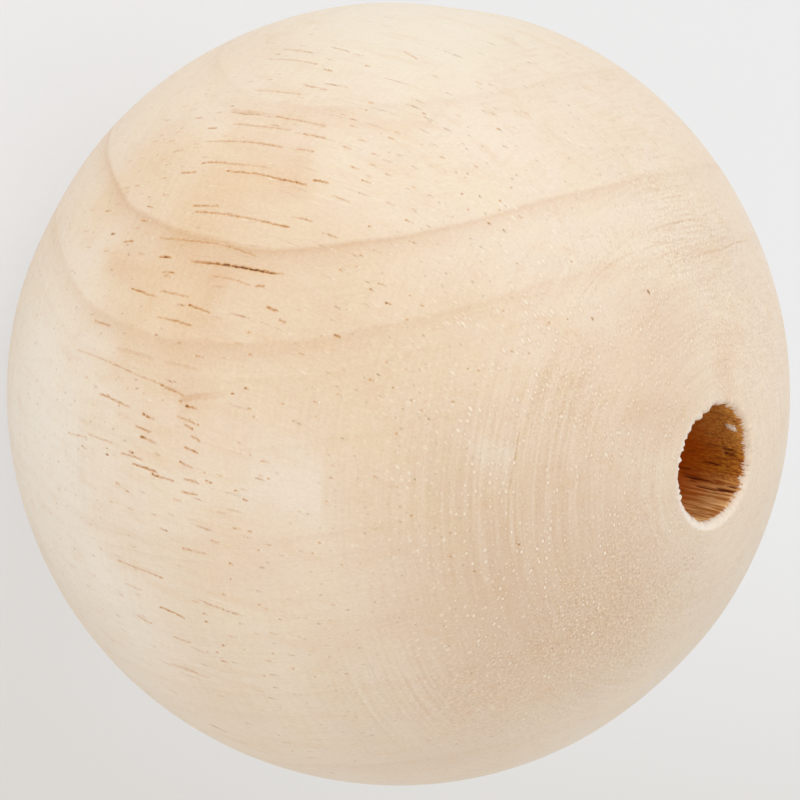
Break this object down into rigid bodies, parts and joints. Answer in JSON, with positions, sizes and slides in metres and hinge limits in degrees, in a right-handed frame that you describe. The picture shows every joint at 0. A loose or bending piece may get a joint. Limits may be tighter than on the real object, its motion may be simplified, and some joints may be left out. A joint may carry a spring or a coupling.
{
  "type": "wooden bead",
  "caption": "Turned wooden ball with a straight bore through its centre and eased rims, for threading on a cord or a dowel.",
  "frame": {"origin": "centre of the ball, halfway along the bore", "axes": "+Z along the bore axis, which is vertical when the bead stands on the rim of its bore"},
  "size_m": [0.06, 0.06, 0.0592],
  "materials": {
    "wood": "raw sanded rubberwood, pale cream with brown pore lines"
  },
  "bodies": {
    "root": {"bead": "wood"}
  },
  "joints": []
}
